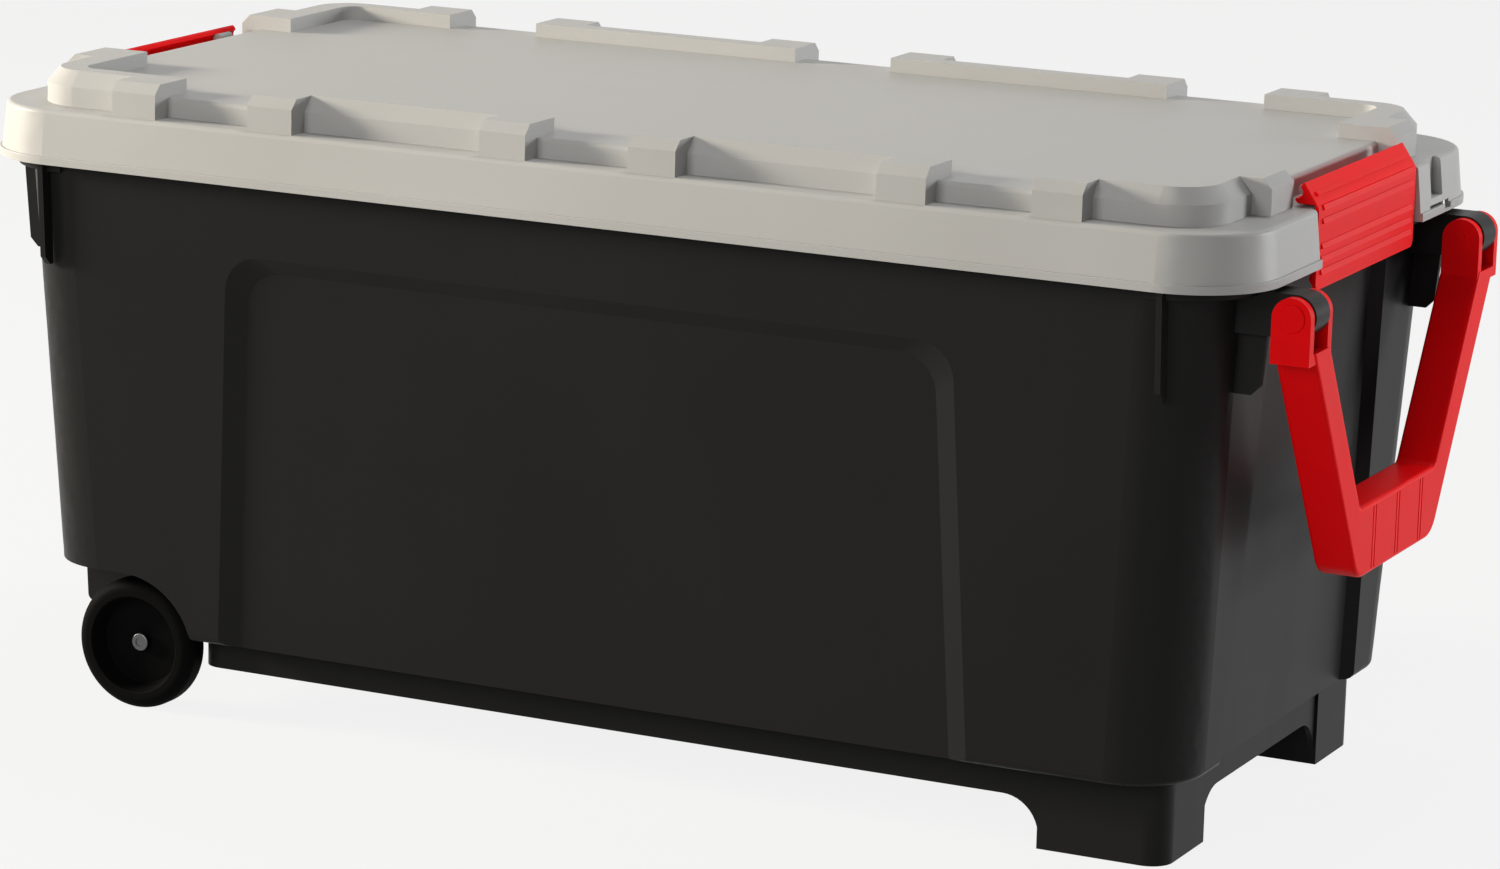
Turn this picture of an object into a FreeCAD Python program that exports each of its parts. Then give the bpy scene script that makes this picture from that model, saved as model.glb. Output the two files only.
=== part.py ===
import FreeCAD, Part
import math
import os
from FreeCAD import Vector

# A wheeled storage box: bin, lift-off lid, two clip latches, pull handle, axle and wheels.
# Lengths are in millimetres. X runs along the box to the handle end, Y to the back, Z up from the floor.

# Bin: a tapered tub that widens upwards, its floor raised over the wheels' axle
BIN_END_INSET = 23.0
BIN_SIDE_INSET = 8.0
BIN_BASE_RISE = 12.0
BIN_FLARE_SHARE = 0.05
BIN_CORNER = 50.0
BIN_WALL = 3.0
BIN_FLOOR = 3.5
BIN_BASE_ROUND = 5.0
BIN_TOP_ROUND = 2.0

# Sunk panel on each long side, open at the bottom
PANEL_TOP_INSET = 157.5
PANEL_BASE_INSET = 144.0
PANEL_TOP_DROP = 50.0
PANEL_DEPTH = 5.5
PANEL_SIDE_RUN = 14.5
PANEL_TOP_RUN = 10.5
PANEL_CORNER = 26.0

# Sunk panel on each end, between the corner pillars
END_PANEL_TOP_INSET = 100.0
END_PANEL_BASE_INSET = 77.0
END_PANEL_TOP_RISE = 16.0
END_PANEL_DEPTH = 8.0
END_PANEL_RUN = 7.0
END_PANEL_CORNER = 12.0

# Rim at the two ends of the bin, hooked over like an upturned gutter
RIM_LIP_DROP = 6.0
RIM_WALL = 3.0
RIM_LENGTH = 29.0
RIM_CORNER = 55.0

# Webs that stiffen the rim near each corner
WEB_THICKNESS = 4.0
WEB_DROP = 71.0
WEB_ROUND = 6.0
SIDE_WEB_INSET = 16.0
SIDE_WEB_LOW_REACH = 7.0
SIDE_WEB_TOP_REACH = 7.3
END_WEB_INSET = 38.0
END_WEB_LOW_REACH = 18.0
END_WEB_TOP_REACH = 20.0
WEB_LID_GAP = 1.0

# Plinth under the bin, with a foot at each corner of the handle end
PLINTH_BOTTOM = 33.0
PLINTH_LEFT_INSET = 111.0
PLINTH_RIGHT_INSET = 19.0
PLINTH_SIDE_INSET = 30.5
PLINTH_CORNER = 15.0
PLINTH_WALL = 3.5
FOOT_PROUD = 2.0
FOOT_LENGTH = 88.0
FOOT_WIDTH = 70.0
FOOT_CORNER = 16.0
FOOT_WALL = 4.0
FOOT_ARCH = 26.0

# Wheels, axle and the pockets that the wheels stand in
WHEEL_RADIUS = 46.0
WHEEL_WIDTH = 24.0
WHEEL_INSET = 10.5
WHEEL_EDGE = 8.0
WHEEL_DISH = 13.5
WHEEL_DISH_RADIUS = 34.0
WHEEL_DISH_SLOPE = 4.0
WHEEL_HUB_RADIUS = 15.0
WHEEL_HUB_GAP = 0.5
WHEEL_POCKET_GAP = 8.0
AXLE_INSET = 69.0
AXLE_RADIUS = 5.0
AXLE_OVERHANG = 3.5
AXLE_FIT = 0.04
WHEEL_FIT = 0.06
CAP_RADIUS = 6.4
CAP_SKIN = 1.5
CAP_ROUND = 1.0
CAP_DIMPLE_RADIUS = 3.2
CAP_DIMPLE_DEPTH = 0.7
CAP_GAP = 0.3
CHEEK_INSET = 61.0
CHEEK_THICKNESS = 6.0
CHEEK_RADIUS = 18.0

# Lid: flange, ledge and raised top
LID_LENGTH = 930.0
LID_WIDTH = 458.0
LID_CORNER = 60.0
LID_BOTTOM = 384.0
LID_FLANGE_HEIGHT = 37.0
LID_FLANGE_LEAN = 4.0
LID_WALL = 2.5
LID_EDGE_ROUND = 3.2
LID_LIP_HEIGHT = 5.5
LID_LIP_PROUD = 1.2
LID_SEAT_GAP = 0.3
RIM_LID_GAP = 1.2
END_LEDGE = 33.0
SIDE_LEDGE = 24.0
TOP_CORNER = 36.0
TOP_RISE = 13.5
TOP_EDGE_ROUND = 3.0

# Raised bars round the edge of the lid's top, and the lugs at their ends
BAR_RISE = 10.0
BAR_WIDTH = 23.0
END_BAR_WIDTH = 28.0
BAR_SLOPE = 9.0
SIDE_BAR_START = 37.5
SIDE_BAR_INSET = 185.0
CORNER_BAR_LENGTH = 113.0
CORNER_BAR_WIDTH = 108.0
LUG_WIDTH = 34.0
END_LUG_WIDTH = 39.0
LUG_REACH = 17.0
END_LUG_REACH = 13.0
LUG_CHAMFER = 6.5

# Clip latch on each end of the lid: a ribbed plate whose hooked top turns on two short rods
LATCH_BAR_GAP = 4.5
LATCH_INSET = 4.0
LATCH_DROP = 16.0
LATCH_TOP_BACK = 10.6
LATCH_TOP_RISE = 15.5
LATCH_WALL = 2.6
LATCH_LIP = 2.0
LATCH_JAW_BACK = 16.4
LATCH_JAW_RISE = 2.0
LATCH_CORNER = 5.0
LATCH_BEND = 5.0
LATCH_RIB_RISES = (52.7, 43.9, 27.8, 19.4, 11.1)
LATCH_RIB_MARGIN = 7.0
LATCH_RIB_HEIGHT = 3.4
LATCH_RIB_PROUD = 1.5
LATCH_RIB_EDGE = 0.5
LATCH_BEAD_RISE = 6.3
LATCH_RECESS_GAP = 3.5
LATCH_BACK_GAP = 1.4
LATCH_CATCH_GAP = 0.5
ROD_BACK = 15.0
ROD_RISE = 9.0
ROD_RADIUS = 3.6
ROD_LENGTH = 16.0
ROD_INSET = 20.5
ROD_FIT = 0.1
ROD_POST_WIDTH = 5.0
ROD_POST_GAP = 1.2

# Open notch in the lid's flange beside the right latch, and the slot and hole under it
NOTCH_START = 21.7
NOTCH_LENGTH = 22.3
NOTCH_RISE = 12.0
NOTCH_DEPTH = 9.0
NOTCH_SLOT_RISE = 5.5
NOTCH_SLOT_HEIGHT = 2.0
NOTCH_SLOT_OVERLAP = 3.0
NOTCH_HOLE_LENGTH = 11.5
NOTCH_HOLE_RISE = 2.0

# Pull handle: a tapering loop whose forks swing on two knuckles of the bin
PIVOT_PROUD = 13.0
PIVOT_DROP = 17.0
KNUCKLE_INSET = 41.5
KNUCKLE_WIDTH = 24.0
KNUCKLE_RADIUS = 14.0
FORK_GAP = 0.5
PRONG_THICKNESS = 7.0
PRONG_RADIUS = 13.0
PRONG_DROP = 29.5
CROTCH_DROP = 22.0
HANDLE_DEPTH = 28.0
GRIP_INNER_WIDTH = 144.0
GRIP_DROP = 140.5
GRIP_HEIGHT = 47.5
ARM_THICKNESS = 30.0
ARM_FORK_OFFSET = 17.5
HANDLE_ROUND = 3.0
GRIP_CORNER = 22.0
GRIP_INNER_CORNER = 6.0
GRIP_GROOVE_PITCH = 45.0
GRIP_GROOVE_SPACING = 5.0
GRIP_GROOVE_WIDTH = 1.8
GRIP_GROOVE_DEPTH = 0.8
PIN_RADIUS = 4.0
PIN_PRESS_FIT = 0.02
PIN_RUNNING_FIT = 0.08
PIN_HEAD_RADIUS = 9.0
PIN_HEAD_HEIGHT = 1.2
PIN_SEAT_GAP = 0.1

# Overrun of every cut past the face that it leaves through, bite of joined mouldings,
# and how near an edge has to lie to count as being at a place
OVERRUN = 2.0
BITE = 1.0
NEAR = 0.01

# Worked out from the driving dimensions: insets run in from the sides, drops down from the lid's foot
LEDGE = LID_BOTTOM + LID_FLANGE_HEIGHT
PLATEAU = LEDGE + TOP_RISE
BAR_TOP = PLATEAU + BAR_RISE
BIN_TOP = LEDGE - LID_WALL - LID_SEAT_GAP
BIN_BASE_HEIGHT = WHEEL_RADIUS + BIN_BASE_RISE
BIN_FLARE = BIN_FLARE_SHARE * (BIN_TOP - BIN_BASE_HEIGHT)
BASE_X = LID_LENGTH / 2 - BIN_END_INSET - BIN_FLARE
BASE_Y = LID_WIDTH / 2 - BIN_SIDE_INSET - BIN_FLARE
RIM_LIP_BOTTOM = LID_BOTTOM - RIM_LIP_DROP
WEB_BOTTOM = LID_BOTTOM - WEB_DROP
PLINTH_LEFT = PLINTH_LEFT_INSET - BASE_X
PLINTH_RIGHT = BASE_X - PLINTH_RIGHT_INSET
PLINTH_Y = BASE_Y - PLINTH_SIDE_INSET
WHEEL_OUTER_Y = BASE_Y - WHEEL_INSET
AXLE_X = AXLE_INSET - BASE_X
CHEEK_Y = BASE_Y - CHEEK_INSET
TOP_LENGTH = LID_LENGTH - 2 * END_LEDGE
TOP_WIDTH = LID_WIDTH - 2 * SIDE_LEDGE
SIDE_BAR_END = TOP_LENGTH / 2 - SIDE_BAR_INSET
CORNER_BAR_X = TOP_LENGTH / 2 - CORNER_BAR_LENGTH
CORNER_BAR_Y = TOP_WIDTH / 2 - CORNER_BAR_WIDTH
LATCH_WIDTH = 2 * (CORNER_BAR_Y - LATCH_BAR_GAP)
LATCH_RIB_WIDTH = LATCH_WIDTH - 2 * LATCH_RIB_MARGIN
LATCH_FACE_X = LID_LENGTH / 2 - LATCH_INSET
LATCH_TOP_X = LATCH_FACE_X - LATCH_TOP_BACK
LATCH_JAW_X = LATCH_FACE_X - LATCH_JAW_BACK
LATCH_BOTTOM = LID_BOTTOM - LATCH_DROP
LATCH_TOP = LEDGE + LATCH_TOP_RISE
ROD_X = LATCH_FACE_X - ROD_BACK
ROD_Z = LEDGE + ROD_RISE
ROD_Y = LATCH_WIDTH / 2 - ROD_INSET
NOTCH_LOW_Y = CORNER_BAR_Y + NOTCH_START
NOTCH_HIGH_Y = NOTCH_LOW_Y + NOTCH_LENGTH
NOTCH_SLOT_LOW = LID_BOTTOM + NOTCH_SLOT_RISE
PIVOT_X = LID_LENGTH / 2 + PIVOT_PROUD
PIVOT_Z = LID_BOTTOM - PIVOT_DROP
RECESS_X = LATCH_FACE_X - LATCH_WALL - LATCH_BACK_GAP
RECESS_HALF = LATCH_WIDTH / 2 + LATCH_RECESS_GAP
RIM_HALF_LENGTH = RECESS_X - LID_WALL - RIM_LID_GAP
RIM_HALF_WIDTH = LID_WIDTH / 2 - LID_FLANGE_LEAN - LID_WALL - RIM_LID_GAP
POCKET_RADIUS = WHEEL_RADIUS + WHEEL_POCKET_GAP
HUB_FACE = WHEEL_OUTER_Y - WHEEL_DISH
FOOT_RIGHT = PLINTH_RIGHT + FOOT_PROUD
FOOT_FRONT = PLINTH_Y + FOOT_PROUD
KNUCKLE_Y = BASE_Y - KNUCKLE_INSET
FORK_OUTER_Y = KNUCKLE_Y + KNUCKLE_WIDTH / 2 + FORK_GAP + PRONG_THICKNESS
FORK_INNER_Y = KNUCKLE_Y - KNUCKLE_WIDTH / 2 - FORK_GAP - PRONG_THICKNESS
HANDLE_FACE = PIVOT_X + HANDLE_DEPTH / 2

# The frame's origin is on the floor under the middle of the whole box, handle included
FRAME_SHIFT = Vector((LID_LENGTH / 2 + LID_LIP_PROUD - HANDLE_FACE) / 2, 0, 0)

ORIGIN = Vector(0, 0, 0)
ALONG_X = Vector(1, 0, 0)
ALONG_Y = Vector(0, 1, 0)
ALONG_Z = Vector(0, 0, 1)


def half_length(z):
    """Half the bin's outer length at height z."""
    return BASE_X + BIN_FLARE_SHARE * (z - BIN_BASE_HEIGHT)


def half_width(z):
    """Half the bin's outer width at height z."""
    return BASE_Y + BIN_FLARE_SHARE * (z - BIN_BASE_HEIGHT)


def block(x_span, y_span, z_span):
    """Box between two values on each axis."""
    low = Vector(x_span[0], y_span[0], z_span[0])
    return Part.makeBox(x_span[1] - x_span[0], y_span[1] - y_span[0], z_span[1] - z_span[0], low)


def rod_along_y(x, z, radius, y_span):
    """Round bar along Y."""
    return Part.makeCylinder(radius, y_span[1] - y_span[0], Vector(x, y_span[0], z), ALONG_Y)


def rounded_rectangle(x_span, y_span, radius, z):
    """Closed outline of a rectangle with round corners at height z."""
    left, right = x_span[0] + radius, x_span[1] - radius
    front, back = y_span[0] + radius, y_span[1] - radius
    corners = []
    for turn, (x, y) in enumerate(((right, back), (left, back), (left, front), (right, front))):
        angles = [math.radians(90 * turn + 45 * step) for step in range(3)]
        corners.append([Vector(x + radius * math.cos(a), y + radius * math.sin(a), z) for a in angles])
    edges = []
    for corner, following in zip(corners, corners[1:] + corners[:1]):
        edges.append(Part.Arc(*corner).toShape())
        edges.append(Part.makeLine(corner[-1], following[0]))
    return Part.Wire(edges)


def centred(half_x, half_y, radius, z):
    """Round-cornered outline centred on the box."""
    return rounded_rectangle((-half_x, half_x), (-half_y, half_y), radius, z)


def prism(outline, height):
    """Solid raised from a flat outline."""
    return Part.Face(outline).extrude(Vector(0, 0, height))


def between(low, high):
    """Solid with straight sides between two outlines."""
    return Part.makeLoft([low, high], True, True)


def sheet(points, travel):
    """Solid made by sweeping a polygon straight along a vector."""
    return Part.Face(Part.makePolygon(points + points[:1])).extrude(travel)


def in_xz(pairs, y):
    """Points in a plane across the box's length."""
    return [Vector(x, y, z) for x, z in pairs]


def in_yz(pairs, x):
    """Points in a plane across the box's width."""
    return [Vector(x, y, z) for y, z in pairs]


def round_edges(shape, radius, chosen):
    """Fillet the edges for which chosen(edge) is true."""
    return shape.makeFillet(radius, [edge for edge in shape.Edges if chosen(edge)])


def flat_at(z):
    """Test for edges that lie level at height z."""
    return lambda edge: max(abs(edge.BoundBox.ZMin - z), abs(edge.BoundBox.ZMax - z)) < NEAR


def upright_at(x, y):
    """Test for edges that stand upright at a place in plan."""
    return lambda edge: edge.BoundBox.ZLength > NEAR and edge.CenterOfMass.distanceToLine(
        Vector(x, y, 0), ALONG_Z) < NEAR


def front_and_back(shape):
    """The shape and its mirror image across the box's length."""
    return [shape, shape.mirror(ORIGIN, ALONG_Y)]


def both_ends(shape):
    """The shape and its mirror image at the other end."""
    return [shape, shape.mirror(ORIGIN, ALONG_X)]


def sunk_outline(half_low, half_high, low, high, radius, depth):
    """Outline of a sunk panel, drawn upright and facing +X, with round upper corners."""
    lean = math.atan2(half_low - half_high, high - low)
    tangent = radius * math.tan((math.pi / 2 - lean) / 2)
    sin, cos = math.sin(lean), math.cos(lean)
    foot = Vector(depth, half_low, low)
    shoulder = Vector(depth, half_high + tangent * sin, high - tangent * cos)
    crown = Vector(depth, half_high - tangent, high)
    centre = Vector(depth, half_high - tangent, high - radius)
    middle_angle = (math.pi / 2 + lean) / 2
    middle = centre + Vector(0, radius * math.cos(middle_angle), radius * math.sin(middle_angle))

    def other(point):
        return Vector(point.x, -point.y, point.z)

    return Part.Wire([
        Part.makeLine(foot, shoulder),
        Part.Arc(shoulder, middle, crown).toShape(),
        Part.makeLine(crown, other(crown)),
        Part.Arc(other(crown), other(middle), other(shoulder)).toShape(),
        Part.makeLine(other(shoulder), other(foot)),
        Part.makeLine(other(foot), foot),
    ])


def sunk_panel(base_half, top_half, top_height, depth, side_run, top_run, radius, wall_x, grow):
    """Wedge-sided space of a sunk panel in a leaning wall that faces +X."""
    flare_angle = math.degrees(math.atan(BIN_FLARE_SHARE))
    slant = math.cos(math.radians(flare_angle))
    low = BIN_BASE_HEIGHT - OVERRUN
    high = BIN_BASE_HEIGHT + (top_height - BIN_BASE_HEIGHT) / slant
    outlines = []
    for sink in (-OVERRUN, depth):
        side = grow - side_run * sink / depth
        top = grow - top_run * sink / depth
        halves = (base_half + side, top_half + side)
        outlines.append(sunk_outline(*halves, low, high + top, radius, wall_x - sink))
    # the grown copy keeps the same slopes but lies deeper by the wall
    panel = between(outlines[0], outlines[1])
    panel.translate(Vector(-grow, 0, 0))
    panel.rotate(Vector(wall_x, 0, BIN_BASE_HEIGHT), ALONG_Y, flare_angle)
    return panel


def side_panels(grow):
    """Sunk panels of the two long sides."""
    panel = sunk_panel(BASE_X - PANEL_BASE_INSET, BASE_X - PANEL_TOP_INSET, LID_BOTTOM - PANEL_TOP_DROP,
                       PANEL_DEPTH, PANEL_SIDE_RUN, PANEL_TOP_RUN, PANEL_CORNER, BASE_Y, grow)
    panel.rotate(ORIGIN, ALONG_Z, 90)
    return front_and_back(panel)


def end_panels(grow):
    """Sunk panels of the two ends."""
    panel = sunk_panel(BASE_Y - END_PANEL_BASE_INSET, BASE_Y - END_PANEL_TOP_INSET,
                       LID_BOTTOM + END_PANEL_TOP_RISE, END_PANEL_DEPTH, END_PANEL_RUN, END_PANEL_RUN,
                       END_PANEL_CORNER, BASE_X, grow)
    return both_ends(panel)


def wheel_pockets(grow):
    """Spaces round the wheels, open to the side, the end and the floor."""
    radius = POCKET_RADIUS + grow
    y_span = (CHEEK_Y - grow, LID_WIDTH)
    left = -LID_LENGTH
    arch = rod_along_y(AXLE_X, WHEEL_RADIUS, radius, y_span)
    tail = block((left, AXLE_X), y_span, (0, WHEEL_RADIUS + radius))
    under = block((left, AXLE_X + radius), y_span, (0, WHEEL_RADIUS))
    return front_and_back(arch.multiFuse([tail, under]))


def tub_form(inset, bottom, top):
    """The bin's tapered body, drawn in by inset, with its panels and wheel pockets taken out."""
    low = centred(half_length(bottom) - inset, half_width(bottom) - inset, BIN_CORNER - inset, bottom)
    high = centred(half_length(top) - inset, half_width(top) - inset, BIN_CORNER - inset, top)
    body = round_edges(between(low, high), BIN_BASE_ROUND, flat_at(bottom))
    return body.cut(side_panels(inset) + end_panels(inset) + wheel_pockets(inset))


def end_rims():
    """Hooked rims that widen the bin's ends under the lid."""
    height = BIN_TOP - RIM_LIP_BOTTOM
    outer = prism(centred(RIM_HALF_LENGTH, RIM_HALF_WIDTH, RIM_CORNER, RIM_LIP_BOTTOM), height)
    outer = round_edges(outer, LID_EDGE_ROUND - LID_WALL, flat_at(BIN_TOP))
    hollow = prism(centred(RIM_HALF_LENGTH - RIM_WALL, RIM_HALF_WIDTH - RIM_WALL, RIM_CORNER - RIM_WALL,
                           RIM_LIP_BOTTOM - OVERRUN), height - RIM_WALL + OVERRUN)
    start = BASE_X - RIM_LENGTH
    middle = block((-start, start), (-LID_WIDTH, LID_WIDTH), (0, BAR_TOP))
    return outer.cut([hollow, middle])


def web_outline(root, low_reach, top_reach, slope_root):
    """Corner points of a stiffening web: distance out from the wall against height."""
    top = LID_BOTTOM - WEB_LID_GAP
    return [
        (root - BIN_WALL, WEB_BOTTOM),
        (root + low_reach - WEB_ROUND, WEB_BOTTOM),
        (root + low_reach, WEB_BOTTOM + WEB_ROUND),
        (slope_root + top_reach, top),
        (slope_root - BIN_WALL, top),
    ]


def webs():
    """Stiffening webs on the long sides and on the ends."""
    thick = WEB_THICKNESS
    top = LID_BOTTOM - WEB_LID_GAP
    side = web_outline(half_width(WEB_BOTTOM), SIDE_WEB_LOW_REACH, SIDE_WEB_TOP_REACH, half_width(top))
    side_web = sheet(in_yz(side, BASE_X - SIDE_WEB_INSET - thick / 2), Vector(thick, 0, 0))
    end = web_outline(half_length(WEB_BOTTOM), END_WEB_LOW_REACH, END_WEB_TOP_REACH, half_length(top))
    end_web = sheet(in_xz(end, BASE_Y - END_WEB_INSET - thick / 2), Vector(0, thick, 0))
    made = []
    for web in (side_web, end_web):
        for copy in both_ends(web):
            made += front_and_back(copy)
    return made


def plinth():
    """Hollow plinth ring with the two hollow feet and the arches beside them."""
    y_half = PLINTH_Y
    height = BIN_BASE_HEIGHT + BITE - PLINTH_BOTTOM
    wall = PLINTH_WALL
    outline = rounded_rectangle((PLINTH_LEFT, PLINTH_RIGHT), (-y_half, y_half), PLINTH_CORNER, PLINTH_BOTTOM)
    inside = rounded_rectangle((PLINTH_LEFT + wall, PLINTH_RIGHT - wall), (wall - y_half, y_half - wall),
                               PLINTH_CORNER - wall, PLINTH_BOTTOM - OVERRUN)
    ring = prism(outline, height).cut(prism(inside, height + 2 * OVERRUN))
    left = FOOT_RIGHT - FOOT_LENGTH
    inner = FOOT_FRONT - FOOT_WIDTH
    low = PLINTH_BOTTOM - FOOT_ARCH
    z_span = (low, PLINTH_BOTTOM)
    side_arch = block((left - FOOT_ARCH, left + BITE), (y_half - wall, y_half), z_span)
    side_arch = side_arch.cut(rod_along_y(left - FOOT_ARCH, low, FOOT_ARCH, (0, LID_WIDTH)))
    end_arch = block((PLINTH_RIGHT - wall, PLINTH_RIGHT), (inner - FOOT_ARCH, inner + BITE), z_span)
    sweep = Part.makeCylinder(FOOT_ARCH, LID_LENGTH, Vector(0, inner - FOOT_ARCH, low), ALONG_X)
    pieces = front_and_back(back_foot()) + front_and_back(side_arch) + front_and_back(end_arch.cut(sweep))
    return [ring] + pieces


def back_foot():
    """Hollow foot at the back corner of the handle end, closed at the floor and open inside the plinth."""
    left = FOOT_RIGHT - FOOT_LENGTH
    inner = FOOT_FRONT - FOOT_WIDTH
    wall = FOOT_WALL
    top = BIN_BASE_HEIGHT + BITE
    outer = block((left, FOOT_RIGHT), (inner, FOOT_FRONT), (0, top))
    outer = round_edges(outer, FOOT_CORNER, upright_at(FOOT_RIGHT, FOOT_FRONT))
    right, back = FOOT_RIGHT - wall, FOOT_FRONT - wall
    hollow = block((left + wall, right), (inner + wall, back), (wall, top + OVERRUN))
    hollow = round_edges(hollow, FOOT_CORNER - wall, upright_at(right, back))
    z_span = (PLINTH_BOTTOM, top + OVERRUN)
    end_window = block((left - OVERRUN, right - FOOT_CORNER), (inner - OVERRUN, back), z_span)
    side_window = block((left - OVERRUN, right), (inner - OVERRUN, back - FOOT_CORNER), z_span)
    return outer.cut([hollow, end_window, side_window])


def axle_cheeks():
    """Plates beside the wheels that carry the axle under the floor."""
    y_span = (CHEEK_Y - CHEEK_THICKNESS, CHEEK_Y)
    round_end = rod_along_y(AXLE_X, WHEEL_RADIUS, CHEEK_RADIUS, y_span)
    x_span = (AXLE_X - CHEEK_RADIUS, AXLE_X + CHEEK_RADIUS)
    plate = block(x_span, y_span, (WHEEL_RADIUS, BIN_BASE_HEIGHT + BITE))
    bore = rod_along_y(AXLE_X, WHEEL_RADIUS, AXLE_RADIUS + AXLE_FIT, (0, LID_WIDTH))
    return front_and_back(round_end.fuse(plate).cut(bore))


def knuckles():
    """Round-nosed knuckles on the handle end, bored for the pivot pins."""
    y_span = (KNUCKLE_Y - KNUCKLE_WIDTH / 2, KNUCKLE_Y + KNUCKLE_WIDTH / 2)
    z_span = (PIVOT_Z - KNUCKLE_RADIUS, PIVOT_Z + KNUCKLE_RADIUS)
    nose = rod_along_y(PIVOT_X, PIVOT_Z, KNUCKLE_RADIUS, y_span)
    arm = block((half_length(PIVOT_Z) - BITE, PIVOT_X), y_span, z_span)
    bore = rod_along_y(PIVOT_X, PIVOT_Z, PIN_RADIUS + PIN_RUNNING_FIT, (0, LID_WIDTH))
    return front_and_back(nose.fuse(arm).cut(bore))


def make_bin():
    """Bin with its plinth, feet, webs, rims, knuckles and axle cheeks in one moulding."""
    outside = round_edges(tub_form(0, BIN_BASE_HEIGHT, BIN_TOP), BIN_TOP_ROUND, flat_at(BIN_TOP))
    inside = tub_form(BIN_WALL, BIN_BASE_HEIGHT + BIN_FLOOR, BIN_TOP + OVERRUN)
    added = [end_rims()] + webs() + plinth() + axle_cheeks() + knuckles()
    return outside.multiFuse(added).cut(inside).removeSplitter()


def lid_flange(inset):
    """Downturned flange of the lid, with its lip; the inner copy is drawn in by inset."""
    bottom = LID_BOTTOM - (OVERRUN if inset else 0)
    half_x, half_y = LID_LENGTH / 2 - inset, LID_WIDTH / 2 - inset
    lean = LID_FLANGE_LEAN
    radius = LID_CORNER - inset
    low = centred(half_x, half_y, radius, bottom)
    high = centred(half_x - lean, half_y - lean, radius - lean, LEDGE - inset)
    body = round_edges(between(low, high), LID_EDGE_ROUND - inset, flat_at(LEDGE - inset))
    if inset:
        return body
    proud = LID_LIP_PROUD
    lip = prism(centred(half_x + proud, half_y + proud, radius + proud, LID_BOTTOM), LID_LIP_HEIGHT)
    return body.fuse(round_edges(lip, proud / 2, flat_at(LID_BOTTOM + LID_LIP_HEIGHT)))


def bar_ring(inset):
    """Raised border of the lid's top, cut into corner bars and side bars."""
    half_x, half_y = TOP_LENGTH / 2 - inset, TOP_WIDTH / 2 - inset
    radius = TOP_CORNER - inset
    wall = prism(centred(half_x, half_y, radius, LID_BOTTOM), PLATEAU - LID_BOTTOM)
    low = centred(half_x, half_y, radius, PLATEAU)
    high = centred(half_x - BAR_SLOPE, half_y - BAR_SLOPE, radius - BAR_SLOPE, BAR_TOP - inset)
    width = BAR_WIDTH - 2 * inset
    end_width = END_BAR_WIDTH - 2 * inset
    hole = prism(centred(half_x - end_width, half_y - width, radius - width, LID_BOTTOM - OVERRUN), BAR_TOP)
    ring = wall.fuse(between(low, high)).cut(hole)
    deep = (0, 2 * BAR_TOP)
    across = (-LID_WIDTH, LID_WIDTH)
    end_gap = CORNER_BAR_Y + inset
    gaps = [block((-SIDE_BAR_START - inset, SIDE_BAR_START + inset), across, deep)]
    gaps += both_ends(block((SIDE_BAR_END - inset, CORNER_BAR_X + inset), across, deep))
    gaps += both_ends(block((CORNER_BAR_X, LID_LENGTH), (-end_gap, end_gap), deep))
    return ring.cut(gaps)


def lug(start, width, wall, reach, inset):
    """Lug at a bar's end, drawn across the width: it runs out from the wall to over the ledge."""
    outer = wall + reach - inset
    top = BAR_TOP - inset
    chamfer = LUG_CHAMFER - inset / 2
    root = wall - BAR_SLOPE - inset
    points = [(root, LID_BOTTOM), (outer, LID_BOTTOM), (outer, top - chamfer), (outer - chamfer, top),
              (root, top)]
    return sheet(in_yz(points, start + inset), Vector(width - 2 * inset, 0, 0))


def lugs(inset):
    """All lugs of the lid's bars."""
    made = []
    for start in (SIDE_BAR_START, SIDE_BAR_END - LUG_WIDTH, CORNER_BAR_X):
        for copy in both_ends(lug(start, LUG_WIDTH, TOP_WIDTH / 2, LUG_REACH, inset)):
            made += front_and_back(copy)
    end_lug = lug(CORNER_BAR_Y, END_LUG_WIDTH, TOP_LENGTH / 2, END_LUG_REACH, inset)
    end_lug = end_lug.mirror(ORIGIN, Vector(1, -1, 0))
    for copy in both_ends(end_lug):
        made += front_and_back(copy)
    return made


def lid_form(inset):
    """Outside of the lid, or the space inside it when drawn in by the wall."""
    half_x, half_y = TOP_LENGTH / 2 - inset, TOP_WIDTH / 2 - inset
    top = prism(centred(half_x, half_y, TOP_CORNER - inset, LID_BOTTOM), PLATEAU - inset - LID_BOTTOM)
    top = round_edges(top, TOP_EDGE_ROUND - inset / 2, flat_at(PLATEAU - inset))
    deep = (0, BAR_TOP)
    recess = block((RECESS_X - inset, LID_LENGTH), (-RECESS_HALF - inset, RECESS_HALF + inset), deep)
    notch = block((LID_LENGTH / 2 - NOTCH_DEPTH - inset, LID_LENGTH),
                  (NOTCH_LOW_Y - inset, NOTCH_HIGH_Y + inset), (LID_BOTTOM + NOTCH_RISE - inset, BAR_TOP))
    flange = lid_flange(inset).cut(both_ends(recess) + [notch])
    upper = lugs(inset)
    floor = block((-LID_LENGTH, LID_LENGTH), (-LID_WIDTH, LID_WIDTH), (0, LEDGE - LID_WALL - BITE))
    upper = [piece.cut(floor) for piece in upper + [bar_ring(inset), top]]
    return flange.multiFuse(upper)


def hinge_rods():
    """Short rods on posts that stand on the lid's end ledges and carry the latches."""
    reach = ROD_LENGTH / 2
    rod = rod_along_y(ROD_X, ROD_Z, ROD_RADIUS, (ROD_Y - reach, ROD_Y + reach))
    half = ROD_POST_WIDTH / 2
    post = block((ROD_X - half, ROD_X + half), (ROD_Y - half, ROD_Y + half), (LEDGE - BITE, ROD_Z))
    made = []
    for copy in both_ends(rod.fuse(post)):
        made += front_and_back(copy)
    return made


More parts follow.
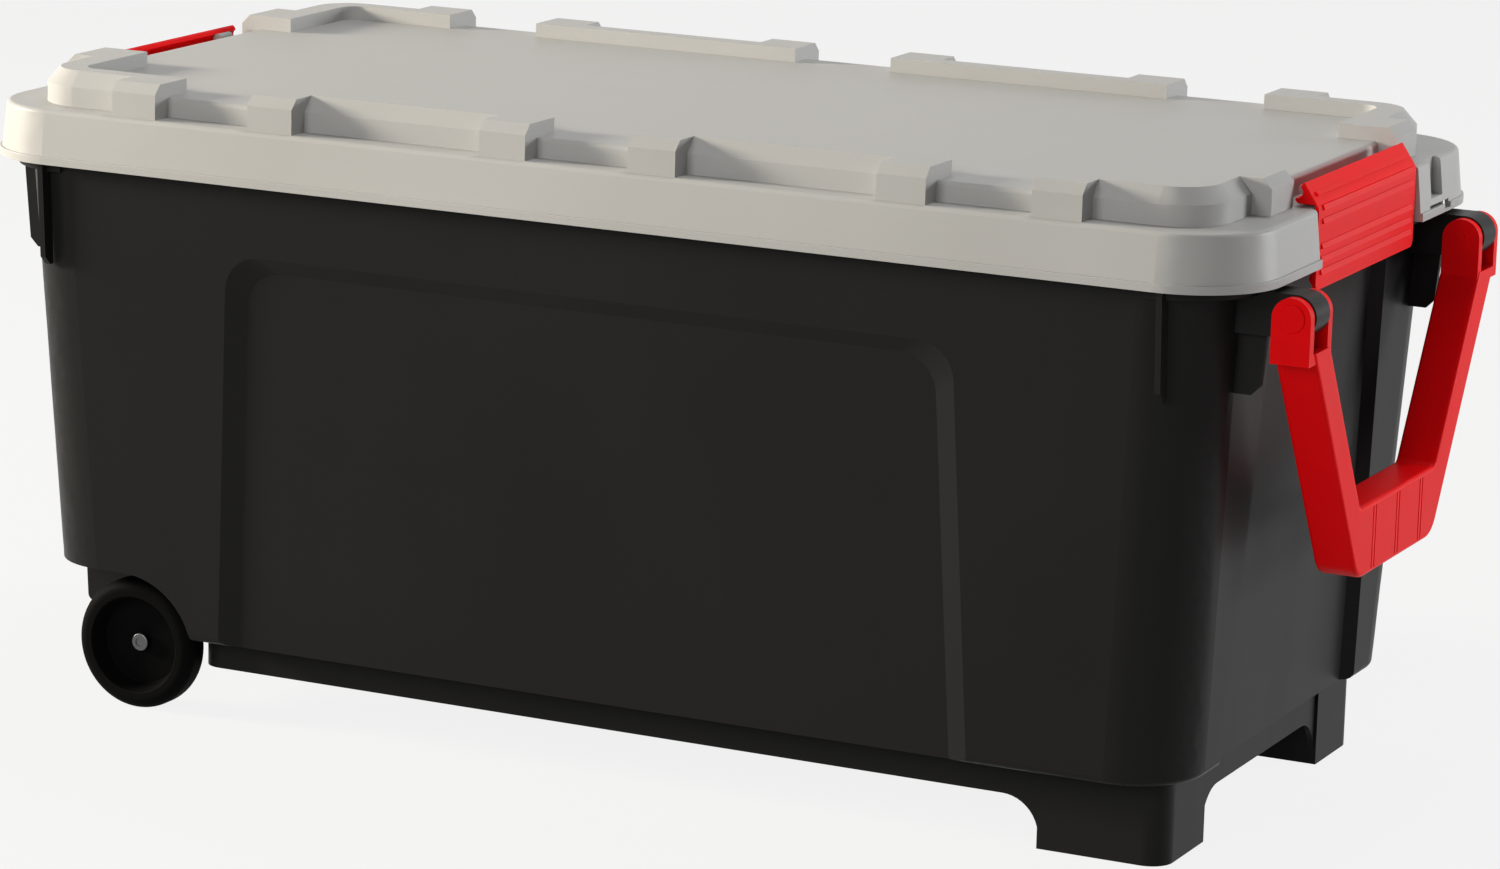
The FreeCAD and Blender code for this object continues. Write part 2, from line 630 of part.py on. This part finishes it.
def make_lid():
    """Hollow lid with its bars, lugs, latch recesses and hinge rods."""
    x_span = (LID_LENGTH / 2 - NOTCH_DEPTH, LID_LENGTH)
    top = NOTCH_SLOT_LOW + NOTCH_SLOT_HEIGHT
    slot = block(x_span, (NOTCH_LOW_Y - NOTCH_SLOT_OVERLAP, NOTCH_HIGH_Y), (NOTCH_SLOT_LOW, top))
    hole_y = (NOTCH_HIGH_Y, NOTCH_HIGH_Y + NOTCH_HOLE_LENGTH)
    hole = block(x_span, hole_y, (LID_BOTTOM + NOTCH_HOLE_RISE, top))
    shell = lid_form(0).cut([lid_form(LID_WALL), slot, hole])
    return shell.multiFuse(hinge_rods()).removeSplitter()


def make_latch_right():
    """Ribbed clip latch of the handle end."""
    half = LATCH_WIDTH / 2
    inner = LATCH_FACE_X - LATCH_WALL
    jaw_low = LEDGE + LATCH_JAW_RISE
    slope = math.atan2(LATCH_FACE_X - LATCH_TOP_X, LATCH_TOP - LEDGE)
    lip = (LATCH_TOP_X - LATCH_LIP * math.cos(slope), LATCH_TOP - LATCH_LIP * math.sin(slope))
    profile = [(LATCH_FACE_X, LATCH_BOTTOM), (LATCH_FACE_X, LEDGE), (LATCH_TOP_X, LATCH_TOP), lip,
               (LATCH_JAW_X, jaw_low + LATCH_LIP), (LATCH_JAW_X + LATCH_LIP, jaw_low), (inner, jaw_low),
               (inner, LATCH_BOTTOM)]
    body = sheet(in_xz(profile, -half), Vector(0, LATCH_WIDTH, 0))
    body = round_edges(body, LATCH_CORNER,
                       lambda edge: flat_at(LATCH_BOTTOM)(edge) and edge.BoundBox.YLength < half)
    body = round_edges(body, LATCH_BEND,
                       lambda edge: flat_at(LEDGE)(edge) and edge.BoundBox.YLength > half)
    rib_half = LATCH_RIB_WIDTH / 2
    ribs = [latch_rib(Vector(LATCH_FACE_X, 0, LATCH_BOTTOM + rise), 0) for rise in LATCH_RIB_RISES]
    ribs.append(latch_rib(Vector((LATCH_FACE_X + LATCH_TOP_X) / 2, 0, (LEDGE + LATCH_TOP) / 2), slope))
    bead_radius = inner - RIM_HALF_LENGTH - LATCH_CATCH_GAP
    bead = rod_along_y(inner, LATCH_BOTTOM + LATCH_BEAD_RISE, bead_radius, (-rib_half, rib_half))
    bead = bead.common(block((0, inner + BITE), (-half, half), (0, LEDGE)))
    body = body.multiFuse(ribs + [bead])
    groove = rod_along_y(ROD_X, ROD_Z, ROD_RADIUS + ROD_FIT, (-LATCH_WIDTH, LATCH_WIDTH))
    slot_half = ROD_POST_WIDTH / 2 + ROD_POST_GAP
    slot = block((LATCH_JAW_X - OVERRUN, ROD_X + slot_half), (ROD_Y - slot_half, ROD_Y + slot_half),
                 (LEDGE, ROD_Z))
    return body.cut([groove] + front_and_back(slot)).removeSplitter()


def latch_rib(middle, slope):
    """Rib across the latch at a place on its outer face: wedge-shaped, thickest at its lower edge."""
    tall = LATCH_RIB_HEIGHT / 2
    points = [(-BITE, -tall), (LATCH_RIB_PROUD, -tall), (LATCH_RIB_EDGE, tall), (-BITE, tall)]
    rib = sheet(in_xz(points, -LATCH_RIB_WIDTH / 2), Vector(0, LATCH_RIB_WIDTH, 0))
    rib.rotate(ORIGIN, ALONG_Y, -math.degrees(slope))
    rib.translate(middle)
    return rib


def make_latch_left():
    """The other latch, turned round to the wheel end."""
    latch = make_latch_right()
    latch.rotate(ORIGIN, ALONG_Z, 180)
    return latch


def make_handle():
    """Pull handle: grip, two leaning arms and the forks that straddle the knuckles."""
    grip_top = PIVOT_Z - GRIP_DROP
    grip_low = grip_top - GRIP_HEIGHT
    crotch = PIVOT_Z - CROTCH_DROP
    back = PIVOT_X - HANDLE_DEPTH / 2

    def through(edge):
        return edge.BoundBox.XLength > HANDLE_DEPTH / 2

    inner_low = GRIP_INNER_WIDTH / 2
    inner_high = KNUCKLE_Y - ARM_FORK_OFFSET
    lean = (inner_high - inner_low) / (crotch - grip_top)
    outer_low = inner_low + ARM_THICKNESS - lean * GRIP_HEIGHT
    outer_high = inner_high + ARM_THICKNESS
    back_half = [(outer_low, grip_low), (outer_high, crotch), (inner_high, crotch), (inner_low, grip_top)]
    front_half = [(-y, z) for y, z in reversed(back_half)]
    loop = sheet(in_yz(back_half + front_half, back), Vector(HANDLE_DEPTH, 0, 0))
    loop = round_edges(loop, GRIP_CORNER, lambda edge: through(edge) and flat_at(grip_low)(edge))
    loop = round_edges(loop, GRIP_INNER_CORNER, lambda edge: through(edge) and flat_at(grip_top)(edge))
    loop = round_edges(loop, HANDLE_ROUND, lambda edge: not through(edge) and not flat_at(crotch)(edge))
    loop = loop.cut(grip_grooves(grip_low, grip_top))
    return loop.multiFuse(front_and_back(fork())).removeSplitter()


def fork():
    """Fork at the back arm's top, slotted for the knuckle and bored for the pin."""
    y_span = (FORK_INNER_Y, FORK_OUTER_Y)
    x_span = (PIVOT_X - PRONG_RADIUS, PIVOT_X + PRONG_RADIUS)
    body = block(x_span, y_span, (PIVOT_Z - PRONG_DROP, PIVOT_Z))
    body = body.fuse(rod_along_y(PIVOT_X, PIVOT_Z, PRONG_RADIUS, y_span))
    slot_y = (FORK_INNER_Y + PRONG_THICKNESS, FORK_OUTER_Y - PRONG_THICKNESS)
    slot = block((0, LID_LENGTH), slot_y, (PIVOT_Z - CROTCH_DROP, LEDGE))
    bore = rod_along_y(PIVOT_X, PIVOT_Z, PIN_RADIUS + PIN_PRESS_FIT, (0, LID_WIDTH))
    return body.cut([slot, bore])


def grip_grooves(low, high):
    """Shallow upright grooves, in pairs, across the grip's outer face."""
    face = (HANDLE_FACE - GRIP_GROOVE_DEPTH, HANDLE_FACE + OVERRUN)
    made = []
    for place in (-1, 0, 1):
        for side in (-1, 1):
            y = place * GRIP_GROOVE_PITCH + side * GRIP_GROOVE_SPACING / 2
            made.append(block(face, (y - GRIP_GROOVE_WIDTH / 2, y + GRIP_GROOVE_WIDTH / 2),
                              (low + HANDLE_ROUND, high - HANDLE_ROUND)))
    return made


def make_pin_back():
    """Snap pin of the back fork: flat head outside, plain end showing inside."""
    seat = FORK_OUTER_Y + PIN_SEAT_GAP
    shank = rod_along_y(PIVOT_X, PIVOT_Z, PIN_RADIUS, (FORK_INNER_Y - PIN_HEAD_HEIGHT, seat))
    head = rod_along_y(PIVOT_X, PIVOT_Z, PIN_HEAD_RADIUS, (seat, seat + PIN_HEAD_HEIGHT))
    middle = seat + PIN_HEAD_HEIGHT / 2
    head = round_edges(head, PIN_HEAD_HEIGHT / 2, lambda edge: edge.BoundBox.YMin > middle)
    return shank.fuse(head).removeSplitter()


def make_wheel_back():
    """Moulded wheel: rounded tread, deep dished face and a hub that reaches in to the cheek."""
    outer = WHEEL_OUTER_Y
    inner = outer - WHEEL_WIDTH
    bore = AXLE_RADIUS + WHEEL_FIT
    hub = WHEEL_HUB_RADIUS
    edge = WHEEL_EDGE
    hub_end = CHEEK_Y + WHEEL_HUB_GAP
    turned = edge * (1 - math.sqrt(1 / 2))

    def at(radius, y):
        return Vector(AXLE_X + radius, y, WHEEL_RADIUS)

    tread = WHEEL_RADIUS
    rim, slope = WHEEL_DISH_RADIUS, WHEEL_DISH_SLOPE
    run = [at(bore, hub_end), at(bore, HUB_FACE), at(rim - slope, HUB_FACE), at(rim, outer),
           at(tread - edge, outer)]
    edges = [Part.makeLine(a, b) for a, b in zip(run, run[1:])]
    edges.append(Part.Arc(run[-1], at(tread - turned, outer - turned), at(tread, outer - edge)).toShape())
    edges.append(Part.makeLine(at(tread, outer - edge), at(tread, inner + edge)))
    shoulder = (at(tread, inner + edge), at(tread - turned, inner + turned), at(tread - edge, inner))
    edges.append(Part.Arc(*shoulder).toShape())
    home = [shoulder[-1], at(hub, inner), at(hub, hub_end), run[0]]
    edges += [Part.makeLine(a, b) for a, b in zip(home, home[1:])]
    face = Part.Face(Part.Wire(edges))
    return face.revolve(Vector(AXLE_X, 0, WHEEL_RADIUS), ALONG_Y, 360)


def make_axle():
    """Steel rod through both cheeks and both wheels."""
    reach = HUB_FACE + CAP_GAP + AXLE_OVERHANG
    return rod_along_y(AXLE_X, WHEEL_RADIUS, AXLE_RADIUS, (-reach, reach))


def make_cap_back():
    """Push-on cap over the axle's end."""
    seat = HUB_FACE + CAP_GAP
    depth = AXLE_OVERHANG + AXLE_FIT
    cap = rod_along_y(AXLE_X, WHEEL_RADIUS, CAP_RADIUS, (seat, seat + depth + CAP_SKIN))
    cap = round_edges(cap, CAP_ROUND, lambda edge: edge.BoundBox.YMin > seat + depth)
    face = seat + depth + CAP_SKIN
    dimple = rod_along_y(AXLE_X, WHEEL_RADIUS, CAP_DIMPLE_RADIUS, (face - CAP_DIMPLE_DEPTH, LID_WIDTH))
    return cap.cut([rod_along_y(AXLE_X, WHEEL_RADIUS, AXLE_RADIUS + AXLE_FIT, (0, seat + depth)), dimple])


def main():
    os.makedirs("parts", exist_ok=True)
    pin_back, wheel_back, cap_back = make_pin_back(), make_wheel_back(), make_cap_back()
    pieces = {
        "bin": make_bin(),
        "lid": make_lid(),
        "latch_right": make_latch_right(),
        "latch_left": make_latch_left(),
        "handle": make_handle(),
        "handle_pin_back": pin_back,
        "handle_pin_front": pin_back.mirror(ORIGIN, ALONG_Y),
        "wheel_back": wheel_back,
        "wheel_front": wheel_back.mirror(ORIGIN, ALONG_Y),
        "axle": make_axle(),
        "axle_cap_back": cap_back,
        "axle_cap_front": cap_back.mirror(ORIGIN, ALONG_Y),
    }
    for name, shape in pieces.items():
        shape.translate(FRAME_SHIFT)
        shape.exportStep(f"parts/{name}.step")
        print(name, len(shape.Solids), "solid", round(shape.Volume / 1000, 1), "cm3", shape.isValid())


main()
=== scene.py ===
import math

import bpy
from mathutils import Matrix, Vector

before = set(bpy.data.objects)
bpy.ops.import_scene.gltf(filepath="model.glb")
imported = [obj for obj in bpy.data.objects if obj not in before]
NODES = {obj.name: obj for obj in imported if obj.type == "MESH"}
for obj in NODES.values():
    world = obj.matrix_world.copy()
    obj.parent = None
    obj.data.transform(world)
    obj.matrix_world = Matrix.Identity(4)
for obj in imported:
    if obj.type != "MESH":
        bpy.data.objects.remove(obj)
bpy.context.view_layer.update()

# Camera of the photograph, in metres and degrees
CAMERA_PLACE = Vector((1.5828, -3.2606, 1.0165))
CAMERA_AZIMUTH = 25.757
CAMERA_ELEVATION = 12.642
CAMERA_ROLL = 1.4715
CAMERA_REACH = 100.0
CAMERA_LENS = 129.4
SENSOR_WIDTH = 36.0

# Rounded edges: points closer than the weld distance are one, and sharper turns than the angle are rounded
WELD_DISTANCE = 0.00001
BEVEL_ANGLE = 28.0
BEVEL_SEGMENTS = 2

# The range in which nearly all of a noise lies, and the turn of the surface that counts as an edge
NOISE_LOW, NOISE_HIGH = 0.3, 0.7
EDGE_FLAT, EDGE_SHARP = 0.99, 0.80
EDGE_SAMPLES = 6

# Studio lamps, aimed at the middle of the box: name, place, size, power in watts and colour
AIM = Vector((0, 0, 0.22))
LAMPS = (
    ("key", (-3.7, -1.1, 1.25), (0.8, 0.7), 290, (1.0, 0.915, 0.77)),
    ("end", (3.2, 2.4, 0.75), (1.2, 0.9), 98, (0.98, 0.99, 1.0)),
    ("fill", (-0.5, -3.5, 1.8), (1.1, 1.1), 40, (1.0, 0.99, 0.97)),
    ("top", (0.4, 0.9, 2.9), (0.9, 0.9), 24, (1.0, 1.0, 1.0)),
    ("side", (1.1, -3.8, 1.2), (0.8, 0.8), 20, (1.0, 1.0, 1.0)),
)

# Strength of the world where it lights the box and where it is seen
WORLD_LIGHT = 0.05
WORLD_SEEN = 1.0

# Pale floor, which is nearly white where it is seen and keeps the shadow
FLOOR_HALF = 30.0
FLOOR_GREY = 0.36
FLOOR_ROUGHNESS = 0.9
FLOOR_WHITE_SHARE = 0.86


def make_camera():
    a, e, r = (math.radians(x) for x in (CAMERA_AZIMUTH, CAMERA_ELEVATION, CAMERA_ROLL))
    back = Vector((math.sin(a) * math.cos(e), -math.cos(a) * math.cos(e), math.sin(e)))
    right = Vector((math.cos(a), math.sin(a), 0))
    up = back.cross(right)
    side = right * math.cos(r) + up * math.sin(r)
    top = up * math.cos(r) - right * math.sin(r)
    data = bpy.data.cameras.new("camera")
    data.lens = CAMERA_LENS
    data.sensor_width = SENSOR_WIDTH
    data.clip_end = CAMERA_REACH
    camera = bpy.data.objects.new("camera", data)
    turn = Matrix((side, top, back)).transposed().to_4x4()
    camera.matrix_world = Matrix.Translation(CAMERA_PLACE) @ turn
    bpy.context.scene.collection.objects.link(camera)
    bpy.context.scene.camera = camera


class Graph:
    """Short calls for building one material's nodes."""

    def __init__(self, name):
        self.material = bpy.data.materials.new(name)
        self.material.use_nodes = True
        self.nodes = self.material.node_tree.nodes
        self.links = self.material.node_tree.links
        self.shader = self.nodes["Principled BSDF"]
        self.output = self.nodes["Material Output"]

    def add(self, kind, values=(), **settings):
        """A new node, with a link or a value for each named or numbered input."""
        node = self.nodes.new(kind)
        for name, value in settings.items():
            setattr(node, name, value)
        for key, value in dict(values).items():
            if isinstance(value, bpy.types.NodeSocket):
                self.links.new(value, node.inputs[key])
            else:
                node.inputs[key].default_value = value
        return node

    def place(self, stretch):
        """Object coordinates in metres, stretched along each axis."""
        coordinates = self.add("ShaderNodeTexCoord").outputs["Object"]
        return self.add("ShaderNodeMapping", {"Vector": coordinates, "Scale": stretch}).outputs[0]

    def noise(self, scale, detail, stretch=(1, 1, 1)):
        values = {"Vector": self.place(stretch), "Scale": scale, "Detail": detail, "Roughness": 0.5}
        return self.add("ShaderNodeTexNoise", values).outputs["Fac"]

    def span(self, value, low, high, out_low, out_high):
        values = {"Value": value, "From Min": low, "From Max": high, "To Min": out_low, "To Max": out_high}
        return self.add("ShaderNodeMapRange", values).outputs[0]

    def vary(self, noise, out_low, out_high):
        return self.span(noise, NOISE_LOW, NOISE_HIGH, out_low, out_high)

    def mix(self, factor, first, second):
        values = {0: factor, 6: first, 7: second}
        return self.add("ShaderNodeMix", values, data_type="RGBA").outputs[2]

    def math(self, operation, first, second):
        return self.add("ShaderNodeMath", {0: first, 1: second}, operation=operation).outputs[0]

    def edges(self, radius):
        """1 on edges and corners, 0 on flat faces."""
        soft = self.add("ShaderNodeBevel", {"Radius": radius}, samples=EDGE_SAMPLES).outputs[0]
        normal = self.add("ShaderNodeNewGeometry").outputs["Normal"]
        dot = self.add("ShaderNodeVectorMath", {0: soft, 1: normal}, operation="DOT_PRODUCT")
        return self.span(dot.outputs["Value"], EDGE_FLAT, EDGE_SHARP, 0, 1)

    def wear_and_highlight(self, radius, patches, least, most, start=0.45):
        """Lighter edges, partly wear and partly a painted highlight, more in some patches than in others.
        """
        patch = self.span(self.noise(patches, detail=4), start, NOISE_HIGH, least, most)
        return self.math("MULTIPLY", self.edges(radius), patch)

    def roughness(self, broad, low, high, fine, swing):
        """Broad changes from low to high, with fine ones around them."""
        return self.math("ADD", self.vary(broad, low, high), self.vary(fine, -swing, swing))

    def bump(self, height, distance, strength, under=None):
        values = {"Height": height, "Distance": distance, "Strength": strength}
        if under is not None:
            values["Normal"] = under
        return self.add("ShaderNodeBump", values).outputs[0]

    def finish(self, colour, roughness, normal, **fixed):
        self.links.new(colour, self.shader.inputs["Base Color"])
        self.links.new(roughness, self.shader.inputs["Roughness"])
        self.links.new(normal, self.shader.inputs["Normal"])
        for name, value in fixed.items():
            self.shader.inputs[name.replace("_", " ")].default_value = value
        return self.material


def tone(red, green, blue):
    return (red, green, blue, 1)


def grey(light):
    return tone(light, light, light)


def black_plastic():
    g = Graph("black_plastic")
    cloud = g.noise(scale=6, detail=4)
    flow = g.noise(scale=14, detail=3, stretch=(1, 1, 0.12))
    grain = g.noise(scale=2600, detail=2)
    base = g.mix(cloud, tone(0.0135, 0.0132, 0.013), tone(0.0175, 0.0172, 0.0168))
    # Edges lightened partly as wear and partly as a painted highlight along edges and creases.
    worn_highlit_edges = g.wear_and_highlight(radius=0.0012, patches=55, least=0.1, most=0.7)
    colour = g.mix(worn_highlit_edges, base, tone(0.035, 0.0345, 0.034))
    roughness = g.roughness(flow, low=0.30, high=0.40, fine=grain, swing=0.03)
    ripple = g.bump(flow, distance=0.0004, strength=0.25)
    normal = g.bump(grain, distance=0.00005, strength=0.5, under=ripple)
    return g.finish(colour, roughness, normal, Specular_IOR_Level=0.05)


def grey_plastic():
    g = Graph("grey_plastic")
    cloud = g.noise(scale=5, detail=5)
    fine = g.noise(scale=40, detail=4)
    grain = g.noise(scale=2200, detail=2)
    shade = g.span(cloud, low=0.35, high=0.65, out_low=0, out_high=1)
    base = g.mix(shade, tone(0.405, 0.402, 0.392), tone(0.435, 0.433, 0.425))
    smudge = g.span(fine, low=0.45, high=0.75, out_low=0, out_high=0.10)
    base = g.mix(smudge, base, tone(0.365, 0.358, 0.335))
    # Edges lightened partly as wear and partly as a painted highlight along edges and creases.
    worn_highlit_edges = g.wear_and_highlight(radius=0.0012, patches=60, least=0.1, most=0.6)
    colour = g.mix(worn_highlit_edges, base, tone(0.50, 0.50, 0.49))
    roughness = g.roughness(cloud, low=0.42, high=0.52, fine=grain, swing=0.03)
    ripple = g.bump(fine, distance=0.0003, strength=0.12)
    normal = g.bump(grain, distance=0.00005, strength=0.5, under=ripple)
    return g.finish(colour, roughness, normal, Specular_IOR_Level=0.25)


def red_plastic():
    g = Graph("red_plastic")
    cloud = g.noise(scale=18, detail=4)
    grain = g.noise(scale=2400, detail=2)
    base = g.mix(g.vary(cloud, 0, 1), tone(0.90, 0.002, 0.004), tone(0.93, 0.003, 0.006))
    # Edges lightened partly as wear and partly as a painted highlight along edges and creases.
    worn_highlit_edges = g.wear_and_highlight(radius=0.0010, patches=80, least=0.15, most=0.8)
    colour = g.mix(worn_highlit_edges, base, tone(0.95, 0.015, 0.02))
    roughness = g.roughness(cloud, low=0.38, high=0.43, fine=grain, swing=0.02)
    normal = g.bump(grain, distance=0.00003, strength=0.4)
    return g.finish(colour, roughness, normal, Specular_IOR_Level=0.06)


def wheel_plastic():
    g = Graph("wheel_plastic")
    cloud = g.noise(scale=25, detail=4)
    grain = g.noise(scale=1500, detail=3)
    base = g.mix(cloud, grey(0.002), grey(0.004))
    # Edges lightened partly as wear and partly as a painted highlight along edges and creases.
    worn_highlit_edges = g.wear_and_highlight(radius=0.0015, patches=90, least=0, most=0.6, start=0.4)
    colour = g.mix(worn_highlit_edges, base, tone(0.012, 0.0115, 0.011))
    roughness = g.roughness(cloud, low=0.6, high=0.72, fine=grain, swing=0.04)
    normal = g.bump(grain, distance=0.0001, strength=0.5)
    return g.finish(colour, roughness, normal, Specular_IOR_Level=0.02)


def steel(name, light, rough):
    dim_share, blue_share, dull = 0.86, 0.87, 0.12
    g = Graph(name)
    rings = g.noise(scale=900, detail=2, stretch=(1, 12, 1))
    cloud = g.noise(scale=120, detail=4)
    base = g.mix(cloud, tone(light * dim_share, light * dim_share, light * blue_share), grey(light))
    roughness = g.roughness(cloud, low=rough, high=rough + dull, fine=rings, swing=0.04)
    normal = g.bump(rings, distance=0.00005, strength=0.4)
    return g.finish(base, roughness, normal, Metallic=1.0)


def dress(name, material, width):
    """Gives a CAD node its material and edges rounded to a width."""
    node = NODES[name]
    node.data.materials.clear()
    node.data.materials.append(material)
    weld = node.modifiers.new("weld", "WELD")
    weld.merge_threshold = WELD_DISTANCE
    bevel = node.modifiers.new("bevel", "BEVEL")
    bevel.width = width
    bevel.segments = BEVEL_SEGMENTS
    bevel.limit_method = "ANGLE"
    bevel.angle_limit = math.radians(BEVEL_ANGLE)
    bevel.use_clamp_overlap = True
    bevel.harden_normals = False
    node.modifiers.new("normals", "WEIGHTED_NORMAL").keep_sharp = True


def dress_all():
    dress("bin", black_plastic(), width=0.0009)
    dress("lid", grey_plastic(), width=0.0011)
    red = red_plastic()
    dress("handle", red, width=0.0006)
    for side in ("right", "left"):
        dress("latch_" + side, red, width=0.0005)
    dress("axle", steel("axle_steel", light=0.45, rough=0.34), width=0.0004)
    wheel = wheel_plastic()
    cap = steel("cap_steel", light=0.12, rough=0.26)
    for side in ("front", "back"):
        dress("handle_pin_" + side, red, width=0.0003)
        dress("wheel_" + side, wheel, width=0.0006)
        dress("axle_cap_" + side, cap, width=0.0003)


def make_lamp(name, place, size, power, colour):
    data = bpy.data.lights.new(name, "AREA")
    data.shape = "RECTANGLE"
    data.size, data.size_y = size
    data.energy = power
    data.color = colour
    lamp = bpy.data.objects.new(name, data)
    lamp.location = place
    lamp.rotation_mode = "QUATERNION"
    lamp.rotation_quaternion = (AIM - lamp.location).to_track_quat("-Z", "Y")
    bpy.context.scene.collection.objects.link(lamp)


def seen_directly(nodes, links):
    """1 for rays from the camera, and in gloss and glass."""
    path = nodes.new("ShaderNodeLightPath")
    total = path.outputs["Is Camera Ray"]
    for name in ("Is Glossy Ray", "Is Transmission Ray"):
        node = nodes.new("ShaderNodeMath")
        node.operation = "MAXIMUM"
        links.new(total, node.inputs[0])
        links.new(path.outputs[name], node.inputs[1])
        total = node.outputs[0]
    return total


def make_world():
    world = bpy.data.worlds.new("studio")
    bpy.context.scene.world = world
    world.use_nodes = True
    nodes, links = world.node_tree.nodes, world.node_tree.links
    background = nodes["Background"]
    background.inputs["Color"].default_value = grey(1)
    strength = nodes.new("ShaderNodeMapRange")
    strength.inputs["To Min"].default_value = WORLD_LIGHT
    strength.inputs["To Max"].default_value = WORLD_SEEN
    links.new(seen_directly(nodes, links), strength.inputs["Value"])
    links.new(strength.outputs[0], background.inputs["Strength"])


def floor_material():
    g = Graph("floor")
    g.shader.inputs["Base Color"].default_value = grey(FLOOR_GREY)
    g.shader.inputs["Roughness"].default_value = FLOOR_ROUGHNESS
    g.shader.inputs["Specular IOR Level"].default_value = 0
    white = g.add("ShaderNodeEmission", {"Color": grey(1), "Strength": 1})
    share = g.math("MULTIPLY", seen_directly(g.nodes, g.links), FLOOR_WHITE_SHARE)
    mixed = g.add("ShaderNodeMixShader", {0: share, 1: g.shader.outputs[0], 2: white.outputs[0]})
    g.links.new(mixed.outputs[0], g.output.inputs["Surface"])
    return g.material


def make_floor():
    mesh = bpy.data.meshes.new("floor")
    corners = [(x * FLOOR_HALF, y * FLOOR_HALF, 0) for x, y in ((-1, -1), (1, -1), (1, 1), (-1, 1))]
    mesh.from_pydata(corners, [], [(0, 1, 2, 3)])
    mesh.materials.append(floor_material())
    floor = bpy.data.objects.new("floor", mesh)
    bpy.context.scene.collection.objects.link(floor)


make_camera()
dress_all()
for lamp_values in LAMPS:
    make_lamp(*lamp_values)
make_world()
make_floor()
bpy.context.scene.view_settings.view_transform = "Standard"
